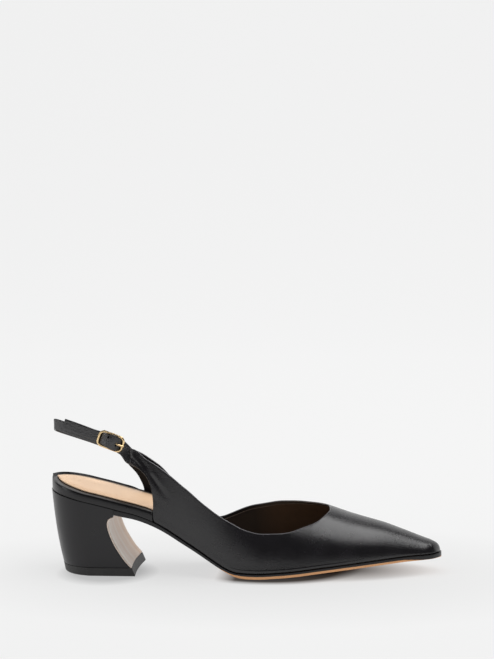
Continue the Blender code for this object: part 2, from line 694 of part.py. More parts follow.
def buckle_frame():
    """Oblong wire frame with rounded corners."""
    length, width = BUCKLE_LENGTH / 2 - BUCKLE_CORNER, BUCKLE_WIDTH / 2 - BUCKLE_CORNER
    points = []
    for quarter, (sx, sy) in enumerate(((1, 1), (-1, 1), (-1, -1), (1, -1))):
        for step in range(6):
            a = math.radians(90 * quarter + 18 * step)
            points.append(at_buckle(sx * length + BUCKLE_CORNER * math.cos(a), 0.0,
                                    sy * width + BUCKLE_CORNER * math.sin(a)))
    return tube(points, BUCKLE_WIRE / 2, closed=True)


def centre_bar():
    half = BUCKLE_WIDTH / 2
    return tube([at_buckle(0.0, -BAR_DROP, -half), at_buckle(0.0, -BAR_DROP, half)], BAR_WIRE / 2)


def prong_points():
    """Hooked round the centre bar, up through the strap and down on the end bar."""
    hook = BAR_WIRE + GAP
    points = [at_buckle(hook * math.sin(math.radians(a)), hook * math.cos(math.radians(a)) - BAR_DROP)
              for a in (-150, -100, -50, 0, 40)]
    rest = (BUCKLE_WIRE + BAR_WIRE) / 2 + GAP
    points += [at_buckle(BUCKLE_LENGTH * 0.2, 0.0012), at_buckle(BUCKLE_LENGTH * 0.3, rest + 0.0003),
               at_buckle(BUCKLE_LENGTH * 0.5, rest), at_buckle(BUCKLE_LENGTH * 0.5 + 0.0008, rest - 0.0002)]
    return [Vector(point) for point in fair([tuple(point) for point in points], 2)]


def fold_slot():
    """Slot in the fold of the sling, where the prong hooks round the centre bar."""
    reach = BAR_WIRE + STRAP_THICKNESS + 3 * GAP
    half = BAR_WIRE / 2 + GAP
    rings = []
    for up in (-half, half):
        rings.append([at_buckle(along, out - BAR_DROP, up)
                      for along, out in ((-reach, -reach), (reach, -reach), (reach, reach), (-reach, reach))])
    return loft(rings)


def cutter(name, bm, look, targets):
    """An unseen object whose shape is cut out of the targets."""
    tool = finish(name, bm, look)
    tool.hide_render = True
    tool.display_type = "WIRE"
    for target in targets:
        cut = target.modifiers.new(name, "BOOLEAN")
        cut.operation = "DIFFERENCE"
        cut.solver = "EXACT"
        cut.object = tool
    return tool


def build():
    for old in list(bpy.data.objects):
        bpy.data.objects.remove(old, do_unlink=True)

    finish("outsole", outsole(), material("black_sole", (0.012, 0.011, 0.012), 0.35))
    finish("heel_block", heel_block(), material("heel_leather", (0.012, 0.010, 0.012), 0.32))
    finish("heel_breast_cover", breast_cover(), material("champagne", (0.55, 0.45, 0.36), 0.35, 0.6))
    finish("top_lift", top_lift(), material("lift_rubber", (0.03, 0.03, 0.03), 0.6))
    finish("footbed", footbed(), material("rim_leather", (0.013, 0.011, 0.013), 0.35))
    finish("insole_sock", insole_sock(), material("tan_lining", (0.80, 0.58, 0.40), 0.5))

    shell = finish("upper", upper(), material("black_nappa", (0.013, 0.011, 0.013), 0.3), closed=False)
    wall = shell.modifiers.new("wall", "SOLIDIFY")
    wall.thickness = UPPER_WALL
    wall.offset = -1.0

    sling = finish("sling_strap", band(sling_route(), STRAP_WIDTH, STRAP_THICKNESS),
                   material("strap_leather", (0.013, 0.011, 0.013), 0.35))
    tail = finish("buckle_strap", band(tail_route(), STRAP_WIDTH, STRAP_THICKNESS),
                  material("tail_leather", (0.013, 0.011, 0.013), 0.35))
    gold = material("gold", (0.83, 0.58, 0.28), 0.2, 1.0)
    frame = finish("buckle_frame", buckle_frame(), gold)
    bar = finish("centre_bar", centre_bar(), gold)
    bar.hide_render = True
    bar.display_type = "WIRE"
    join = frame.modifiers.new("bar", "BOOLEAN")
    join.operation = "UNION"
    join.solver = "EXACT"
    join.object = bar

    finish("buckle_prong", tube(prong_points(), BAR_WIRE / 2, sides=8),
           material("gold_wire", (0.83, 0.58, 0.28), 0.2, 1.0))
    slot = tube([Vector(point) for point in prong_points()], BAR_WIRE / 2 + GAP, sides=8)
    cutter("prong_clearance", slot, gold, (tail,))
    cutter("fold_slot", fold_slot(), gold, (sling,))


build()
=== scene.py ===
# %% [markdown]
# # A slingback pump
#
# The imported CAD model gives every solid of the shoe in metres: +X runs to the toe, +Y to the inner
# side of the foot and +Z up. This lesson takes each solid, gives it the skin of the real piece
# (nappa leather, lining, sole leather, plated wire) and sets the shoe on a pale studio floor.

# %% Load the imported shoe
import math

import bmesh
import bpy
from mathutils import Matrix, Vector
from mathutils.bvhtree import BVHTree
from mathutils.kdtree import KDTree


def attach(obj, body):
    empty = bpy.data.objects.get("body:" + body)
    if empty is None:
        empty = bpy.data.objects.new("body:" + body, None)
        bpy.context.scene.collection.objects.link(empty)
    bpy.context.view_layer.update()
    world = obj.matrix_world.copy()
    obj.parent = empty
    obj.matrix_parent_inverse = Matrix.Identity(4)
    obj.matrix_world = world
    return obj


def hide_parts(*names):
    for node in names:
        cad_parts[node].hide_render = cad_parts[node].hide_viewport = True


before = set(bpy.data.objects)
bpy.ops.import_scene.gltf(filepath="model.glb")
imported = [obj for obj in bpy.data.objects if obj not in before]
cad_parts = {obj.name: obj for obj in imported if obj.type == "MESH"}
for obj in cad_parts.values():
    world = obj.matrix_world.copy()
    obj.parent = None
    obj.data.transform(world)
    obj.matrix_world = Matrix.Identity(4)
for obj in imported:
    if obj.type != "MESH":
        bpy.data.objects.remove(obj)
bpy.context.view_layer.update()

MM = 0.001

# %% [markdown]
# ## Skins taken from the solids
#
# A solid arrives as loose triangles. A skin could be drawn again from nothing, but then it would
# drift away from the solid that it covers. So each skin starts as a copy: its doubles are merged,
# its triangles are paired back into quads, its sharp edges are marked and a Subdivision Surface
# rounds the rest. A subdivided skin shrinks a little inside its corners, so the corners are first
# moved out until the smooth skin passes through the solid's own points again. The marked edges are
# then bevelled by a few tenths of a millimetre, as turned leather is.

# %% Copy a solid's skin
def skin_of(node):
    """A bmesh with the node's shape: one closed skin, mostly quads."""
    bm = bmesh.new()
    bm.from_mesh(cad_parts[node].data)
    bmesh.ops.remove_doubles(bm, verts=bm.verts, dist=1e-6)
    bmesh.ops.join_triangles(bm, faces=bm.faces, angle_face_threshold=math.radians(30),
                             angle_shape_threshold=math.radians(100))
    bm.normal_update()
    return bm


def sharp_edges(bm, angle):
    """The edges whose two faces turn by more than an angle in degrees."""
    joined = [e for e in bm.edges if len(e.link_faces) == 2]
    return [e for e in joined if e.calc_face_angle() > math.radians(angle)]


def mark_sharp(bm, angle, amount):
    """Creases each sharp edge, so that the subdivision keeps it."""
    crease = bm.edges.layers.float.new("crease_edge")
    for edge in sharp_edges(bm, angle):
        edge[crease] = amount


# %% Subdivide a skin
def smoothed(bm, levels, passes=2):
    """The skin after a Subdivision Surface modifier, passing through the same points as before."""
    mesh = bpy.data.meshes.new("rough_cut")
    bm.to_mesh(mesh)
    corners = [vert.co.copy() for vert in bm.verts]
    bm.free()
    rough = bpy.data.objects.new("rough_cut", mesh)
    bpy.context.scene.collection.objects.link(rough)
    modifier = rough.modifiers.new("smooth", "SUBSURF")
    modifier.levels = modifier.render_levels = levels
    bpy.context.view_layer.update()
    for _ in range(passes):
        seen = rough.evaluated_get(bpy.context.evaluated_depsgraph_get()).to_mesh()
        for vert, corner, now in zip(mesh.vertices, corners, seen.vertices):
            vert.co += corner - now.co
        mesh.update()
        rough.update_tag(refresh={"DATA"})
        bpy.context.view_layer.update()
    ready = rough.evaluated_get(bpy.context.evaluated_depsgraph_get()).to_mesh()
    off = max((corner - now.co).length for corner, now in zip(corners, ready.vertices))
    print("farthest from a solid's corner, mm:", round(off / MM, 3))
    fine = bmesh.new()
    fine.from_mesh(ready)
    bpy.data.objects.remove(rough)
    bpy.data.meshes.remove(mesh)
    fine.normal_update()
    return fine


# %% Bevel the edges that stayed sharp
def eased(bm, radius, angle=38):
    """The skin with a small round on each edge that turns more than the angle."""
    bmesh.ops.bevel(bm, geom=sharp_edges(bm, angle), offset=radius, segments=2, profile=0.5,
                    affect="EDGES", clamp_overlap=True, material=-1)
    bm.normal_update()
    return bm


# %% Make a finished piece
def piece(name, bm, finishes, node):
    """A named object that stands for a node, rides on the shoe and has its materials."""
    mesh = bpy.data.meshes.new(name)
    bm.to_mesh(mesh)
    bm.free()
    mesh.shade_smooth()
    for look in finishes:
        mesh.materials.append(look)
    made = bpy.data.objects.new(name, mesh)
    bpy.context.scene.collection.objects.link(made)
    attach(made, "root")
    if node:
        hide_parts(node)
    print(f"{name}: {len(mesh.polygons)} faces")
    return made


# %% [markdown]
# ## Shared grain and wear
#
# Nappa has a fine pebbled grain of about half a millimetre with shallow stretch lines between
# softer areas. It could be painted, but a picture would stretch over the toe. A node group makes it
# from Voronoi cells and noise in the shoe's own coordinates instead, and puts out a height and a
# mottle for the colour and the gloss. Each leather places the group with its own sizes.

# %% Tools for node trees
def new_group(name, inputs, outputs):
    """A node group with named sockets, and the nodes that hold them."""
    group = bpy.data.node_groups.new(name, "ShaderNodeTree")
    for label, kind, value in inputs:
        socket = group.interface.new_socket(label, in_out="INPUT", socket_type=kind)
        if value is not None:
            socket.default_value = value
    for label, kind in outputs:
        group.interface.new_socket(label, in_out="OUTPUT", socket_type=kind)
    return group, group.nodes.new("NodeGroupInput"), group.nodes.new("NodeGroupOutput")


def math_node(tree, operation, a, b=None, clamp=False):
    """A Math node whose inputs are sockets or numbers."""
    node = tree.nodes.new("ShaderNodeMath")
    node.operation = operation
    node.use_clamp = clamp
    for socket, value in zip(node.inputs, (a, b)):
        if isinstance(value, (int, float)):
            socket.default_value = value
        elif value is not None:
            tree.links.new(value, socket)
    return node.outputs[0]


def noise_node(tree, vector, scale, detail=2.0, roughness=0.5):
    """A Noise node's value. scale: a socket or a number."""
    node = tree.nodes.new("ShaderNodeTexNoise")
    tree.links.new(vector, node.inputs["Vector"])
    if isinstance(scale, (int, float)):
        node.inputs["Scale"].default_value = scale
    else:
        tree.links.new(scale, node.inputs["Scale"])
    node.inputs["Detail"].default_value = detail
    node.inputs["Roughness"].default_value = roughness
    return node.outputs["Fac"]


# %% The grain group
PEBBLES = 0.55               # share of the pebbles in the grain's height
PORES = 0.35                 # share of the pores
PORE_FINENESS = 2.3          # pores for each pebble, along a line

grain, grain_in, grain_out = new_group(
    "leather_grain",
    (("Vector", "NodeSocketVector", None), ("Cells per metre", "NodeSocketFloat", 1500.0),
     ("Waves per metre", "NodeSocketFloat", 90.0), ("Waviness", "NodeSocketFloat", 1.0)),
    (("Height", "NodeSocketFloat"), ("Mottle", "NodeSocketFloat")))
cells = grain.nodes.new("ShaderNodeTexVoronoi")
cells.feature = "SMOOTH_F1"
cells.inputs["Smoothness"].default_value = 0.35
grain.links.new(grain_in.outputs["Vector"], cells.inputs["Vector"])
grain.links.new(grain_in.outputs["Cells per metre"], cells.inputs["Scale"])
pebbles = math_node(grain, "MULTIPLY", cells.outputs["Distance"], PEBBLES)
fine_scale = math_node(grain, "MULTIPLY", grain_in.outputs["Cells per metre"], PORE_FINENESS)
fine = noise_node(grain, grain_in.outputs["Vector"], fine_scale, 1.0)
pores = math_node(grain, "MULTIPLY", fine, PORES)
waves = noise_node(grain, grain_in.outputs["Vector"], grain_in.outputs["Waves per metre"], 2.0)
waved = math_node(grain, "MULTIPLY", waves, grain_in.outputs["Waviness"])
surface = math_node(grain, "ADD", math_node(grain, "ADD", pebbles, pores), waved)
grain.links.new(surface, grain_out.inputs["Height"])
mottle = noise_node(grain, grain_in.outputs["Vector"], grain_in.outputs["Waves per metre"], 4.0, 0.6)
grain.links.new(mottle, grain_out.inputs["Mottle"])
print("leather_grain has", len(grain.nodes), "nodes")


# %% Tools for materials
def new_finish(name):
    """A material with its node tree, Principled shader and Object coordinates."""
    look = bpy.data.materials.new(name)
    look.use_nodes = True
    tree = look.node_tree
    shader = tree.nodes["Principled BSDF"]
    place = tree.nodes.new("ShaderNodeTexCoord").outputs["Object"]
    return look, tree, shader, place


def axes_of(tree, place):
    """The X, Y and Z of a place, as three sockets."""
    node = tree.nodes.new("ShaderNodeSeparateXYZ")
    tree.links.new(place, node.inputs[0])
    return node.outputs["X"], node.outputs["Y"], node.outputs["Z"]


def ramp(tree, value, low, high, start, end):
    """Maps a value from one range to another, clamped."""
    node = tree.nodes.new("ShaderNodeMapRange")
    tree.links.new(value, node.inputs["Value"])
    for label, number in (("From Min", low), ("From Max", high), ("To Min", start), ("To Max", end)):
        node.inputs[label].default_value = number
    return node.outputs["Result"]


def blend_colours(tree, share, a, b):
    """Mixes two colours, each a socket or a tuple, by a share."""
    node = tree.nodes.new("ShaderNodeMix")
    node.data_type = "RGBA"
    tree.links.new(share, node.inputs["Factor"])
    for socket, value in ((node.inputs[6], a), (node.inputs[7], b)):
        if isinstance(value, tuple):
            socket.default_value = (*value, 1.0)
        else:
            tree.links.new(value, socket)
    return node.outputs[2]


def grained(tree, place, cells_per_metre, waves_per_metre, waviness):
    """Places the grain group and returns its height and mottle."""
    node = tree.nodes.new("ShaderNodeGroup")
    node.node_tree = grain
    tree.links.new(place, node.inputs["Vector"])
    node.inputs["Cells per metre"].default_value = cells_per_metre
    node.inputs["Waves per metre"].default_value = waves_per_metre
    node.inputs["Waviness"].default_value = waviness
    return node.outputs["Height"], node.outputs["Mottle"]


def bumped(tree, shader, height, depth):
    """Bends the shader's normals by a height. depth: metres."""
    node = tree.nodes.new("ShaderNodeBump")
    node.inputs["Distance"].default_value = depth
    tree.links.new(height, node.inputs["Height"])
    tree.links.new(node.outputs["Normal"], shader.inputs["Normal"])


def attribute(tree, name):
    """The value that a piece's points hold under a name."""
    node = tree.nodes.new("ShaderNodeAttribute")
    node.attribute_name = name
    return node.outputs["Fac"]


# %% [markdown]
# ## The leathers
#
# The upper is black nappa with a soft gloss: almost no colour of its own, so that the light on it
# is what shows its shape. One Principled shader could carry a flat gloss, but real nappa is
# shinier where it is stretched. The mottle moves the roughness a little, and the grain's height
# goes to a Bump node. Towards the straps the grain is coarser, because the leather is gathered there.

# %% Black leathers
WAVES = 80.0                 # stretch lines per metre in the black leathers
REAR_CELLS = 950.0           # cells per metre of the coarser grain near the straps
FOLD_SHEEN = (0.110, 0.106, 0.112)           # colour of the painted highlight along a fold's outermost line


def black_leather(name, tint, gloss, cells_per_metre, depth, waviness=1.0, shine=0.6, rear_grain=0.0,
                  rim=False):
    """Black leather. gloss: roughness of its shiniest and of its dullest parts.
    rear_grain: how much coarser its grain gets towards the straps. rim: a painted highlight, lighter
    along its folds."""
    look, tree, shader, place = new_finish(name)
    height, mottle = grained(tree, place, cells_per_metre, WAVES, waviness)
    if rear_grain:
        along = axes_of(tree, place)[0]
        coarse = grained(tree, place, REAR_CELLS, WAVES, 0.6)[0]
        share = ramp(tree, along, 0.024, 0.046, rear_grain, 0.0)
        height = math_node(tree, "ADD", height, math_node(tree, "MULTIPLY", coarse, share))
    lighter = tuple(c * 1.5 for c in tint)
    colour = blend_colours(tree, ramp(tree, mottle, 0.3, 0.7, 0.0, 1.0), tint, lighter)
    if rim:
        # painted highlight: a lighter line along the folds, standing in for the light that their turned
        # edge catches
        fold_sheen = ramp(tree, attribute(tree, "rim_distance"), 0.05, 0.45, 1.0, 0.0)
        colour = blend_colours(tree, fold_sheen, colour, FOLD_SHEEN)
    tree.links.new(colour, shader.inputs["Base Color"])
    tree.links.new(ramp(tree, mottle, 0.3, 0.7, *gloss), shader.inputs["Roughness"])
    shader.inputs["Specular IOR Level"].default_value = shine
    bumped(tree, shader, height, depth)
    return look


NAPPA_TINT = (0.0058, 0.0050, 0.0062)
black_nappa = black_leather("black_nappa", NAPPA_TINT, (0.21, 0.30), 1500.0, 0.00010,
                            shine=0.64, rear_grain=2.5, rim=True)
heel_leather = black_leather("heel_leather", NAPPA_TINT, (0.27, 0.36), 1700.0, 0.00005, 0.6, 0.46)
rim_leather = black_leather("rim_leather", NAPPA_TINT, (0.26, 0.36), 1700.0, 0.00008, shine=0.5)
strap_leather = black_leather("strap_leather", NAPPA_TINT, (0.26, 0.38), 950.0, 0.00034, 0.6, 1.0)
tail_leather = black_leather("tail_leather", NAPPA_TINT, (0.26, 0.38), 900.0, 0.00038, 0.6, 1.0)
for look in (black_nappa, heel_leather, rim_leather, strap_leather, tail_leather):
    print("black leather:", look.name)

# %% [markdown]
# The lining is thin leather, dull and close-grained: brown in the vamp and black in the quarters.
# Along the topline the black leather is turned in over it by about 2 mm, and its cut edge shows as
# a thin light line: partly the lighter raw edge, partly a painted highlight where its step catches
# the light. That facing could be a piece of its own, but it has no thickness to see, so the lining's
# colour changes with an attribute that holds the distance from the edge.

# %% Lining with its black facing
FACING = 2.2                 # mm of black leather turned in along the topline
CUT_EDGE_GLINT = (0.085, 0.083, 0.088)       # colour of the facing's cut edge: lighter raw edge and painted highlight

lining_leather, tree, shader, place = new_finish("lining_leather")
height, mottle = grained(tree, place, 2600.0, 60.0, 0.5)
brown = blend_colours(tree, mottle, (0.0270, 0.0168, 0.0112), (0.0430, 0.0270, 0.0185))
from_rim = attribute(tree, "rim_distance")
turned = ramp(tree, from_rim, FACING - 0.15, FACING + 0.15, 1.0, 0.0)
in_quarter = ramp(tree, axes_of(tree, place)[0], 0.100, 0.117, 1.0, 0.0)
black_share = math_node(tree, "MAXIMUM", turned, in_quarter)
off_cut = math_node(tree, "ABSOLUTE", math_node(tree, "SUBTRACT", from_rim, FACING))
# the facing's cut edge: a lighter raw edge, with a painted highlight where its step catches the light
cut_edge_glint = ramp(tree, off_cut, 0.10, 0.30, 1.0, 0.0)
lined = blend_colours(tree, black_share, brown, NAPPA_TINT)
tree.links.new(blend_colours(tree, cut_edge_glint, lined, CUT_EDGE_GLINT), shader.inputs["Base Color"])
tree.links.new(ramp(tree, turned, 0.0, 1.0, 0.55, 0.34), shader.inputs["Roughness"])
shader.inputs["Specular IOR Level"].default_value = 0.22
step = math_node(tree, "ADD", height, math_node(tree, "MULTIPLY", turned, 3.0))
bumped(tree, shader, step, 0.00006)
print("lining:", lining_leather.name)

# %% [markdown]
# The sock on the footbed is smooth tan leather. It is bare: only a soft mottle and pores. Along the
# inner side it dips under the wrap, whose shade an attribute on its outline marks.

# %% Tan sock leather
tan_leather, tree, shader, place = new_finish("tan_leather")
height, mottle = grained(tree, place, 2200.0, 45.0, 0.4)
tan = blend_colours(tree, mottle, (0.82, 0.55, 0.35), (0.92, 0.67, 0.46))
# painted shade: the sock darkens along its inner outline, where it dips under the wrap
shade = ramp(tree, attribute(tree, "painted_wrap_shade"), 0.35, 0.75, 0.0, 1.0)
tree.links.new(blend_colours(tree, shade, tan, NAPPA_TINT), shader.inputs["Base Color"])
soft = math_node(tree, "MAXIMUM", ramp(tree, mottle, 0.3, 0.7, 0.42, 0.55), shade)
tree.links.new(soft, shader.inputs["Roughness"])
bumped(tree, shader, height, 0.00004)
print("sock:", tan_leather.name)

# %% [markdown]
# ## Where the straps meet the quarters
#
# The straps and the quarters' tips are worn as one band, a little fuller than the flat-cut solids.
# Both could be drawn anew, but a few soft pulls, the same ones for all three skins, bring the band
# to its real outline and keep the laps together.

# %% Soft pulls in the side view
# side: -1 outer, 1 inner. centre, move: mm along the shoe and up. reach: mm.
PULLS = (
    # side, centre, reach, move
    (-1, (11.5, 81.0), 6.8, (-0.5, -1.9)),
    (-1, (21.0, 75.0), 5.0, (-0.8, -0.7)),
    (-1, (26.5, 82.0), 5.0, (0.6, 1.7)),
    (1, (18.0, 68.0), 6.0, (-1.0, -0.5)),
)
print("pulls:", len(PULLS))


def pulled(bm):
    """The skin with each pull fading out round its centre."""
    for vert in bm.verts:
        point = Vector((vert.co.x, vert.co.z)) / MM
        for side, centre, reach, move in PULLS:
            if vert.co.y * side > 0:
                share = math.exp(-((point - Vector(centre)).length / reach) ** 2)
                vert.co.x += move[0] * share * MM
                vert.co.z += move[1] * share * MM
    bm.normal_update()
    return bm


# %% [markdown]
# ## The upper
#
# On the real shoe the upper is skived leather pulled over a last, folded over at the topline and
# lined. It could be sculpted, but the CAD skin already has the last's shape, so it is subdivided
# twice. The skin falls into parts along its sharp edges: the outside, the lining and the folded
# edge between them. The fold is thinned first, because skived leather is thin where it turns.

# %% Part the upper's skin
PART_ANGLE = 55              # degrees: the skin falls apart along edges that turn by more
OUTSIDE, LINING, EDGE = 0, 1, 2


def parted(bm, angle):
    """The faces in groups that meet along edges turning less than an angle, largest first."""
    left, groups = set(bm.faces), []
    while left:
        group, front = [], [left.pop()]
        while front:
            face = front.pop()
            group.append(face)
            for edge in face.edges:
                if len(edge.link_faces) == 2 and edge.calc_face_angle() < math.radians(angle):
                    near = [f for f in edge.link_faces if f in left]
                    left.difference_update(near)
                    front.extend(near)
        groups.append(group)
    return sorted(groups, key=lambda g: -sum(f.calc_area() for f in g))


bm = skin_of("upper")
groups = parted(bm, PART_ANGLE)
for face in bm.faces:
    face.material_index = EDGE
inside, outside = sorted(groups[:2], key=lambda g: max(f.calc_center_median().y for f in g))
for face in outside:
    face.material_index = OUTSIDE
for face in inside:
    face.material_index = LINING
print("upper in parts, cm2:", [round(sum(f.calc_area() for f in g) * 1e4, 1) for g in groups[:8]])

# %% Skive the folded edge
SKIVED = 0.42                # share of the wall taken off the lining's side along the topline
SKIVED_END = 0.72            # share taken off the outside where a quarter ends on its strap
ENDS = {                     # line of each quarter's end: mm along, mm up, slope
    -1: (23.7, 74.8, -0.26),
    1: (12.8, 71.6, 0.54),
}
END_BAND = 1.2               # mm in front of that line that still count as the end
FOLD_HOLD = 0.36             # crease that keeps the fold's height and leaves it rounded
DOWNWARD = -0.35             # a face of the edge whose normal dips below this is glued to the sole


def crosses_fold(edge):
    """True for an edge that crosses the folded edge from the lining to the outside."""
    kinds = {f.material_index for v in edge.verts for f in v.link_faces}
    on_fold = all(f.material_index == EDGE for f in edge.link_faces)
    looks_up = max(f.normal.z for f in edge.link_faces) > DOWNWARD
    return on_fold and looks_up and kinds >= {OUTSIDE, LINING}


def ends_here(vert):
    """True for a point on the end of a quarter, where its strap comes out."""
    along, up, slope = ENDS[1 if vert.co.y > 0 else -1]
    return vert.co.x / MM < along + slope * (vert.co.z / MM - up) + END_BAND


moves = {}
for edge in filter(crosses_fold, bm.edges):
    inner = [v for v in edge.verts if any(f.material_index == LINING for f in v.link_faces)]
    if len(inner) == 1:
        at_end = all(ends_here(v) for v in edge.verts)
        moved = edge.other_vert(inner[0]) if at_end else inner[0]
        moves[moved] = moved.co.lerp(edge.other_vert(moved).co, SKIVED_END if at_end else SKIVED)
for vert, where in moves.items():
    vert.co = where
print("skived points:", len(moves), "at the ends:", sum(ends_here(v) for v in moves))
crease = bm.edges.layers.float.new("crease_edge")
for edge in bm.edges:
    kinds = {f.material_index for f in edge.link_faces}
    if EDGE in kinds and len(kinds) == 2:
        edge[crease] = FOLD_HOLD
bm = pulled(smoothed(bm, 2))

# %% Lay the inner quarter's tip on its strap
TIP = Vector((15.5, 79.0))   # mm in the side view
TIP_REACH = 6.0              # mm over which the move fades out
LAID = 1.0                   # mm inwards

for vert in bm.verts:
    if vert.co.y > 0:
        away = (Vector((vert.co.x, vert.co.z)) / MM - TIP).length
        vert.co.y -= LAID * MM * math.exp(-(away / TIP_REACH) ** 2)
bm.normal_update()
print("tip laid inwards by", LAID, "mm")


# %% Measure how far each point lies from the topline
def distance_from(verts):
    """A function that measures how far a point lies from the nearest of some points."""
    places = KDTree(len(verts))
    for index, vert in enumerate(verts):
        places.insert(vert.co, index)
    places.balance()
    return lambda point: places.find(point)[2]


edge_faces = [f for f in bm.faces if f.material_index == EDGE and f.normal.z > DOWNWARD]
topline = {v for f in edge_faces for v in f.verts}
from_topline = distance_from(topline)
rim_distance = bm.verts.layers.float.new("rim_distance")
for vert in bm.verts:
    vert[rim_distance] = from_topline(vert.co) / MM
print("topline points:", len(topline))

# %% [markdown]
# Worn or packed shoes crease where the quarter narrows to the strap and at the waist. A cloth
# simulation could find such creases, but not these ones, so each is a listed line that is pressed
# into the outside. The leather beside a crease rises into a low lip.

# %% Press the creases
LIP = 0.35                   # height of the lips, as a share of the crease's depth
LIP_AWAY = 2.2               # where they rise, in widths of the crease
LIP_WIDE = 1.1               # how wide they are, in the same widths
OFF_MIDDLE = 4 * MM          # only points this far from the shoe's middle are pressed
SIDEWAYS = 0.2               # and only where the skin looks sideways by this much

# side: -1 outer, 1 inner. from, to: ends in mm along the shoe and up. deep, wide: in mm.
CREASES = (
    # side, from, to, deep, wide
    (-1, (19.0, 82.5), (29.5, 73.0), 0.45, 0.9),
    (-1, (27.0, 79.5), (36.0, 71.0), 0.22, 1.3),
    (-1, (35.5, 69.5), (41.5, 61.0), 0.30, 1.1),
    (-1, (38.0, 66.0), (47.0, 53.5), 0.28, 1.4),
    (-1, (33.5, 60.0), (40.0, 50.0), 0.22, 1.2),
    (1, (20.0, 79.0), (30.0, 68.0), 0.40, 1.0),
    (1, (33.0, 66.0), (42.0, 54.0), 0.25, 1.4),
)


def press(bm, side, start, end, deep, wide):
    """Pushes the outside in along a line, with a low lip on both sides of it."""
    a = Vector(start) * MM
    b = Vector(end) * MM
    for vert in bm.verts:
        if vert.co.y * side < OFF_MIDDLE or vert.normal.y * side < SIDEWAYS:
            continue
        point = Vector((vert.co.x, vert.co.z))
        along = (point - a).dot(b - a) / (b - a).length_squared
        away = (point - a.lerp(b, min(max(along, 0.0), 1.0))).length / (wide * MM)
        fade = min(max(1.15 - abs(along - 0.5) * 1.3, 0.0), 1.0)     # half as deep at its ends
        move = math.exp(-away ** 2) - LIP * math.exp(-((away - LIP_AWAY) / LIP_WIDE) ** 2)
        vert.co -= vert.normal * (move * deep * MM * fade)


for line in CREASES:
    press(bm, *line)
bm.normal_update()
for face in bm.faces:
    face.material_index = 1 if face.material_index == LINING else 0
piece("upper_leather", bm, (black_nappa, lining_leather), "upper")

# %% [markdown]
# ## Heel, lift and seat
#
# The block heel is a moulded core with the same leather drawn round it and a thin champagne sheet
# down its front. The lift is rubber, and leather wraps the edge of the seat. They could be boxes
# cut to shape, but their curves are already in the solids. So each keeps its solid's edges, which
# are bevelled by as much as that covering rounds them. The champagne's finish is drawn out in
# streaks from the sole to the lift.

# %% Champagne leather
ARCH_TOP = 0.040             # metres: above it the sheet runs on under the arch, painted black

champagne, tree, shader, place = new_finish("champagne")
height, mottle = grained(tree, place, 2400.0, 60.0, 0.5)
drawn_out = tree.nodes.new("ShaderNodeMapping")
drawn_out.inputs["Scale"].default_value = (0.1, 1.0, 0.06)
tree.links.new(place, drawn_out.inputs["Vector"])
_, sideways, up = axes_of(tree, place)
across = ramp(tree, sideways, -0.022, 0.024, 0.0, 0.75)
streaks = ramp(tree, noise_node(tree, drawn_out.outputs["Vector"], 150.0, 1.0), 0.35, 0.65, -0.22, 0.22)
warm = math_node(tree, "ADD", across, streaks, clamp=True)
metallic = blend_colours(tree, warm, (0.80, 0.70, 0.62), (0.66, 0.45, 0.31))
under_arch = ramp(tree, up, ARCH_TOP - 0.5 * MM, ARCH_TOP + 0.5 * MM, 0.0, 1.0)
tree.links.new(blend_colours(tree, under_arch, metallic, NAPPA_TINT), shader.inputs["Base Color"])
tree.links.new(ramp(tree, mottle, 0.3, 0.7, 0.32, 0.42), shader.inputs["Roughness"])
shader.inputs["Metallic"].default_value = 0.3
bumped(tree, shader, height, 0.00005)
print("breast:", champagne.name)

# %% Lift rubber
lift_rubber, tree, shader, place = new_finish("lift_rubber")
height, mottle = grained(tree, place, 3000.0, 150.0, 0.5)
tree.links.new(blend_colours(tree, mottle, (0.018, 0.017, 0.017), (0.040, 0.039, 0.038)),
               shader.inputs["Base Color"])
shader.inputs["Roughness"].default_value = 0.52
bumped(tree, shader, height, 0.00008)
print("lift:", lift_rubber.name)


def dressed(node, name, look, levels, angle=32, hold=1.0, radius=0.0):
    """The node's skin, subdivided, with its sharp edges held and bevelled, as a finished piece."""
    bm = skin_of(node)
    mark_sharp(bm, angle, hold)
    bm = smoothed(bm, levels)
    if radius:
        bm = eased(bm, radius)
    return piece(name, bm, (look,), node)


dressed("heel_block", "heel_cover", heel_leather, 2, radius=0.40 * MM)
dressed("heel_breast_cover", "breast_cover", champagne, 2)
dressed("top_lift", "lift", lift_rubber, 2, radius=0.25 * MM)
dressed("footbed", "seat_wrap", rim_leather, 2, radius=0.50 * MM)

# %% Dress the sock and mark where it dips under the wrap
DIP = 0.2 * MM               # how near its outline the sock is in shade
INNER_SIDE = 4 * MM          # distance from the shoe's middle over which the shade sets in

bm = skin_of("insole_sock")
mark_sharp(bm, 32, 1.0)
bm = smoothed(bm, 2)
outline = {v for e in sharp_edges(bm, 34.4) for v in e.verts}
from_outline = distance_from(outline)
# painted shade: marks the points of the inner outline that are darkened
painted_wrap_shade = bm.verts.layers.float.new("painted_wrap_shade")
for vert in bm.verts:
    share = min(max(vert.co.y / INNER_SIDE, 0.0), 1.0)
    vert[painted_wrap_shade] = share if from_outline(vert.co) < DIP else 0.0
piece("sock", bm, (tan_leather,), "insole_sock")

# %% [markdown]
# ## The sole
#
# The sole is tan leather below and painted black along the upper part of its edge. The paint could
# be a second solid, but it is only a line on the edge, so each point of the skin stores how far up
# the edge it lies, and the material turns from tan to black at a share that falls towards the toe.
# Along the waist the whole edge is black.

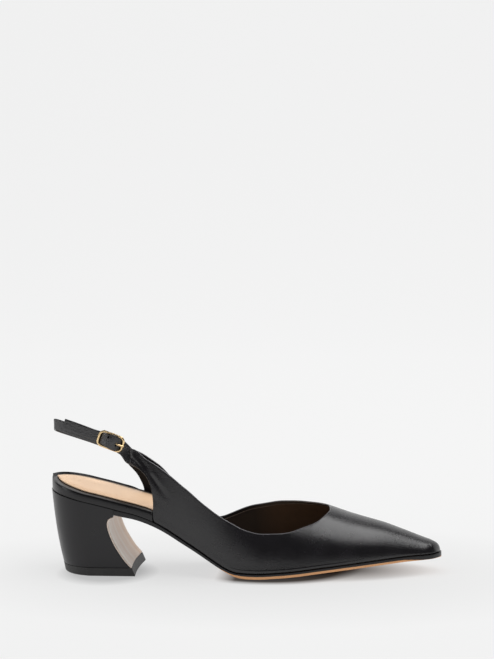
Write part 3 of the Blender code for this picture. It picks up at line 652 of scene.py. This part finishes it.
# %% Two-toned sole edge
sole_leather, tree, shader, place = new_finish("sole_leather")
height, mottle = grained(tree, place, 1800.0, 70.0, 0.6)
along = axes_of(tree, place)[0]
to_toe = ramp(tree, along, 0.092, 0.205, 0.58, 0.44)
from_waist = ramp(tree, along, 0.080, 0.094, -0.60, 0.0)
at_tip = ramp(tree, along, 0.202, 0.214, 0.0, -0.40)
share_of_tan = math_node(tree, "ADD", math_node(tree, "ADD", to_toe, from_waist), at_tip)
over = math_node(tree, "SUBTRACT", attribute(tree, "up_the_edge"), share_of_tan)
painted = ramp(tree, over, -0.02, 0.02, 0.0, 1.0)
tan = blend_colours(tree, mottle, (0.80, 0.38, 0.15), (0.94, 0.50, 0.24))
tree.links.new(blend_colours(tree, painted, tan, NAPPA_TINT), shader.inputs["Base Color"])
tree.links.new(ramp(tree, painted, 0.0, 1.0, 0.48, 0.36), shader.inputs["Roughness"])
bumped(tree, shader, height, 0.00006)
print("sole:", sole_leather.name)

# %% Dress the sole
REAR_END = 12.7 * MM         # points behind this lie at the heel's breast
DRAWN_BACK = 0.45 * MM       # closes the joint with the heel's covering
TOP_FACE = 0.7               # a face that looks up by more than this is the sole's upper face

bm = skin_of("outsole")
mark_sharp(bm, 32, 1.0)
up_the_edge = bm.verts.layers.float.new("up_the_edge")
for vert in bm.verts:
    if vert.co.x < REAR_END:
        vert.co.x -= DRAWN_BACK
    vert[up_the_edge] = 1.0 if any(f.normal.z > TOP_FACE for f in vert.link_faces) else 0.0
piece("sole", eased(smoothed(bm, 2), 0.25 * MM), (sole_leather,), "outsole")

# %% [markdown]
# ## Straps and buckle
#
# The straps are folded leather, domed a little, with one spare hole in the free tail. The buckle is
# plated wire. Both could be curves with a profile, but their solids already follow the real route,
# so their skins are smoothed. The hole is cut with a short punch, as on the real strap, and the tail
# is then plumped where it arches over the buckle's centre bar.

# %% Polished gold
gold_plate, tree, shader, place = new_finish("gold_plate")
rub = noise_node(tree, place, 900.0, 3.0)
tree.links.new(blend_colours(tree, rub, (0.86, 0.60, 0.30), (0.95, 0.74, 0.44)),
               shader.inputs["Base Color"])
tree.links.new(ramp(tree, rub, 0.3, 0.7, 0.12, 0.22), shader.inputs["Roughness"])
shader.inputs["Metallic"].default_value = 1.0
bumped(tree, shader, noise_node(tree, place, 1500.0, 2.0), 0.00001)
dressed("buckle_frame", "buckle", gold_plate, 2, angle=60, hold=0.3)
dressed("buckle_prong", "prong", gold_plate, 2, angle=60, hold=0.6)

# %% Back strap
bm = skin_of("sling_strap")
mark_sharp(bm, 55, 0.5)
piece("back_strap", pulled(smoothed(bm, 2)), (strap_leather,), "sling_strap")


# %% Punch and plump
SPARE_HOLE = (8.3 * MM, 91.7 * MM)     # along the shoe and up
HOLE_RADIUS = 0.8 * MM
ARCH_AT = 12.0 * MM          # along the shoe: where the tail arches most
ARCH_LENGTH = 4.2 * MM       # how far along it the arch fades out
ARCH_LIFT = 2.1 * MM         # how far its upper edge rises
ARCH_SWELL = 0.4 * MM        # how far its face swells
TAIL_MIDDLE = 93.75 * MM     # height of the tail's middle line at the frame's origin
TAIL_SLOPE = 0.5             # how much that line falls along the shoe
TAIL_HALF = 4 * MM           # half the tail's width


def punched(bm, x, z, radius):
    """Cuts a hole through a skin where a line from the outer side meets it."""
    hit, normal, _, _ = BVHTree.FromBMesh(bm).ray_cast(Vector((x, -0.1, z)), Vector((0, 1, 0)))
    mesh = bpy.data.meshes.new("leather")
    bm.to_mesh(mesh)
    bm.free()
    leather = bpy.data.objects.new("leather", mesh)
    punch_bm = bmesh.new()
    turned = normal.to_track_quat("Z", "Y").to_matrix().to_4x4()
    bmesh.ops.create_cone(punch_bm, cap_ends=True, segments=20, radius1=radius, radius2=radius,
                          depth=4 * MM, matrix=Matrix.Translation(hit) @ turned)
    punch_mesh = bpy.data.meshes.new("punch")
    punch_bm.to_mesh(punch_mesh)
    punch_bm.free()
    punch = bpy.data.objects.new("punch", punch_mesh)
    for made in (leather, punch):
        bpy.context.scene.collection.objects.link(made)
    cut = leather.modifiers.new("hole", "BOOLEAN")
    cut.operation = "DIFFERENCE"
    cut.solver = "EXACT"
    cut.object = punch
    bpy.context.view_layer.update()
    fine = bmesh.new()
    fine.from_mesh(leather.evaluated_get(bpy.context.evaluated_depsgraph_get()).to_mesh())
    for made in (leather, punch):
        bpy.data.objects.remove(made)
    print("hole at mm:", [round(c / MM, 1) for c in hit])
    return fine


def plump(bm):
    """Lets the tail bulge over the buckle's upper bar, where it arches over the centre bar."""
    for vert in bm.verts:
        middle = TAIL_MIDDLE - TAIL_SLOPE * vert.co.x
        height = min(max((vert.co.z - middle) / TAIL_HALF, -1.0), 1.0)
        share = math.exp(-((vert.co.x - ARCH_AT) / ARCH_LENGTH) ** 2)
        vert.co.z += ARCH_LIFT * max(height, 0.0) * share
        vert.co.y -= ARCH_SWELL * math.cos(height * math.pi / 2) * share
    bm.normal_update()


# %% Buckle strap with its tail
bm = skin_of("buckle_strap")
mark_sharp(bm, 55, 0.5)
bm = punched(smoothed(bm, 2), *SPARE_HOLE, HOLE_RADIUS)
plump(pulled(bm))
tail = piece("tail_strap", bm, (tail_leather,), "buckle_strap")
for edge in tail.data.edges:
    edge.use_edge_sharp = False
tail.data.set_sharp_from_angle(angle=math.radians(50))

# %% [markdown]
# ## Studio
#
# A pale sheet lies under the shoe and rises behind it in one sweep, so that no horizon shows. It
# glows, as a light table does, so the raised waist throws only a weak shadow. A faint shade round the
# shoe and the dark shadows where the sole and the lift touch it are painted into its glow. Black
# leather shows its shape by what it reflects: the pale floor below, the sheet behind and one long
# soft box overhead, with darkness between them. So the rest of the world is kept dim, and a second
# box lights the tan sock without being mirrored.

# %% Floor and backdrop in one sweep
SHEET_MIDDLE = (0.1, -0.75, 0.0)       # metres
SHEET_HALF = (3.5, 2.25, 1.0, 1.0)     # half its length and half its depth
BACKDROP = 1.5                         # height of the part that rises
SWEEP = 0.6                            # how far from the fold the curve starts

bm = bmesh.new()
bmesh.ops.create_grid(bm, x_segments=1, y_segments=1, size=1.0,
                      matrix=Matrix.Translation(SHEET_MIDDLE) @ Matrix.Diagonal(SHEET_HALF))
fold = [e for e in bm.edges if all(v.co.y > SHEET_MIDDLE[1] for v in e.verts)]
risen = bmesh.ops.extrude_edge_only(bm, edges=fold)["geom"]
risen_verts = [g for g in risen if isinstance(g, bmesh.types.BMVert)]
bmesh.ops.translate(bm, vec=(0.0, 0.0, BACKDROP), verts=risen_verts)
fold = [e for e in bm.edges if len(e.link_faces) == 2]
bmesh.ops.bevel(bm, geom=fold, offset=SWEEP, segments=16, affect="EDGES", profile=0.5, material=-1)
bmesh.ops.recalc_face_normals(bm, faces=bm.faces)
sheet_mesh = bpy.data.meshes.new("studio_sheet")
bm.to_mesh(sheet_mesh)
bm.free()
sheet_mesh.shade_smooth()
studio_sheet = bpy.data.objects.new("studio_sheet", sheet_mesh)
bpy.context.scene.collection.objects.link(studio_sheet)


# %% The sheet glows, with painted shadows where the shoe stands on it
def off_centre(tree, x, y, centre, reach):
    """Distance from a centre, as a share of the reach along and across the shoe."""
    parts = []
    for socket, middle, radius in zip((x, y), centre, reach):
        away = math_node(tree, "DIVIDE", math_node(tree, "SUBTRACT", socket, middle), radius)
        parts.append(math_node(tree, "MULTIPLY", away, away))
    return math_node(tree, "SQRT", math_node(tree, "ADD", *parts))


sheet_white, tree, shader, place = new_finish("sheet_white")
x, y, _ = axes_of(tree, place)
shader.inputs["Base Color"].default_value = (0.14, 0.141, 0.14, 1.0)
shader.inputs["Roughness"].default_value = 0.9
shader.inputs["Specular IOR Level"].default_value = 0.0
shader.inputs["Emission Color"].default_value = (1.0, 1.0, 1.0, 1.0)
# painted shade: the glow dims a little round the shoe
painted_shade_near_shoe = ramp(tree, off_centre(tree, x, y, (0.11, -0.01), (0.10, 0.06)), 0.8, 2.4, -0.085, 0.0)
glow = math_node(tree, "ADD", ramp(tree, y, 0.0, 0.9, 0.735, 0.795), painted_shade_near_shoe)
# painted shadows: the glow is cut under the ball, the toe and the lift, where the shoe touches the
# sheet
painted_shadow_under_ball = ramp(tree, off_centre(tree, x, y, (0.112, 0.0), (0.055, 0.0385)), 0.85, 1.10, 0.94, 0.0)
painted_shadow_under_toe = ramp(tree, off_centre(tree, x, y, (0.150, 0.003), (0.055, 0.028)), 0.30, 1.25, 0.92, 0.0)
before_waist = ramp(tree, x, 0.078, 0.092, 0.0, 1.0)
painted_shadow_under_heel = ramp(tree, off_centre(tree, x, y, (0.005, -0.012), (0.024, 0.026)), 0.9, 1.45, 0.35, 0.0)
glow_after_painted_shadows = 1.0
for shade in (math_node(tree, "MULTIPLY", painted_shadow_under_ball, before_waist), painted_shadow_under_toe, painted_shadow_under_heel):
    glow_after_painted_shadows = math_node(tree, "MULTIPLY", math_node(tree, "SUBTRACT", 1.0, shade), glow_after_painted_shadows)
tree.links.new(math_node(tree, "MULTIPLY", glow, glow_after_painted_shadows), shader.inputs["Emission Strength"])
sheet_mesh.materials.append(sheet_white)
print("studio sheet:", len(sheet_mesh.polygons), "faces")


# %% Soft boxes
def soft_box(name, place, target, size, power, mirrored=True):
    """A box that faces a target. mirrored: whether glossy leather shows its reflection."""
    data = bpy.data.lights.new(name, "AREA")
    data.shape = "RECTANGLE"
    data.size, data.size_y = size
    data.energy = power
    lamp = bpy.data.objects.new(name, data)
    bpy.context.scene.collection.objects.link(lamp)
    lamp.location = place
    lamp.rotation_euler = (Vector(target) - Vector(place)).to_track_quat("-Z", "Y").to_euler()
    lamp.visible_glossy = mirrored
    return lamp


soft_box("overhead_box", (0.52, -0.065, 0.95), (0.18, -0.06, 0.0), (1.1, 0.43), 5.6)
soft_box("fill_box", (-0.10, 0.10, 1.1), (0.05, 0.0, 0.0), (1.2, 0.9), 8.5, mirrored=False)
soft_box("heel_side_box", (-0.9, -0.35, 0.45), (0.0, 0.0, 0.05), (0.25, 0.8), 1.7)
world = bpy.data.worlds.new("dim_room")
world.use_nodes = True
world.node_tree.nodes["Background"].inputs["Color"].default_value = (0.09, 0.09, 0.094, 1.0)
bpy.context.scene.world = world
bpy.context.scene.view_settings.view_transform = "Standard"
print("lights:", [light.name for light in bpy.data.lights])

# %% [markdown]
# ## Camera
#
# The picture is taken from the outer side, a little above the shoe, with a long lens. Such a camera
# could be placed by eye, but then every outline would be a little off. So its place and its lens
# were fitted to points of the shoe.

# %% Camera at the photo's angle
data = bpy.data.cameras.new("photo_camera")
data.lens = 139.302
data.sensor_width = 36.0
camera = bpy.data.objects.new("photo_camera", data)
bpy.context.scene.collection.objects.link(camera)
camera.matrix_world = Matrix((
    (0.993402, -0.001216, 0.114676, 0.290806),
    (0.113624, 0.145946, -0.982746, -1.642269),
    (-0.015541, 0.989292, 0.145122, 0.403739),
    (0.0, 0.0, 0.0, 1.0)))
bpy.context.scene.camera = camera
print("lens:", data.lens, "mm")

# %% Update the view layer
bpy.context.view_layer.update()
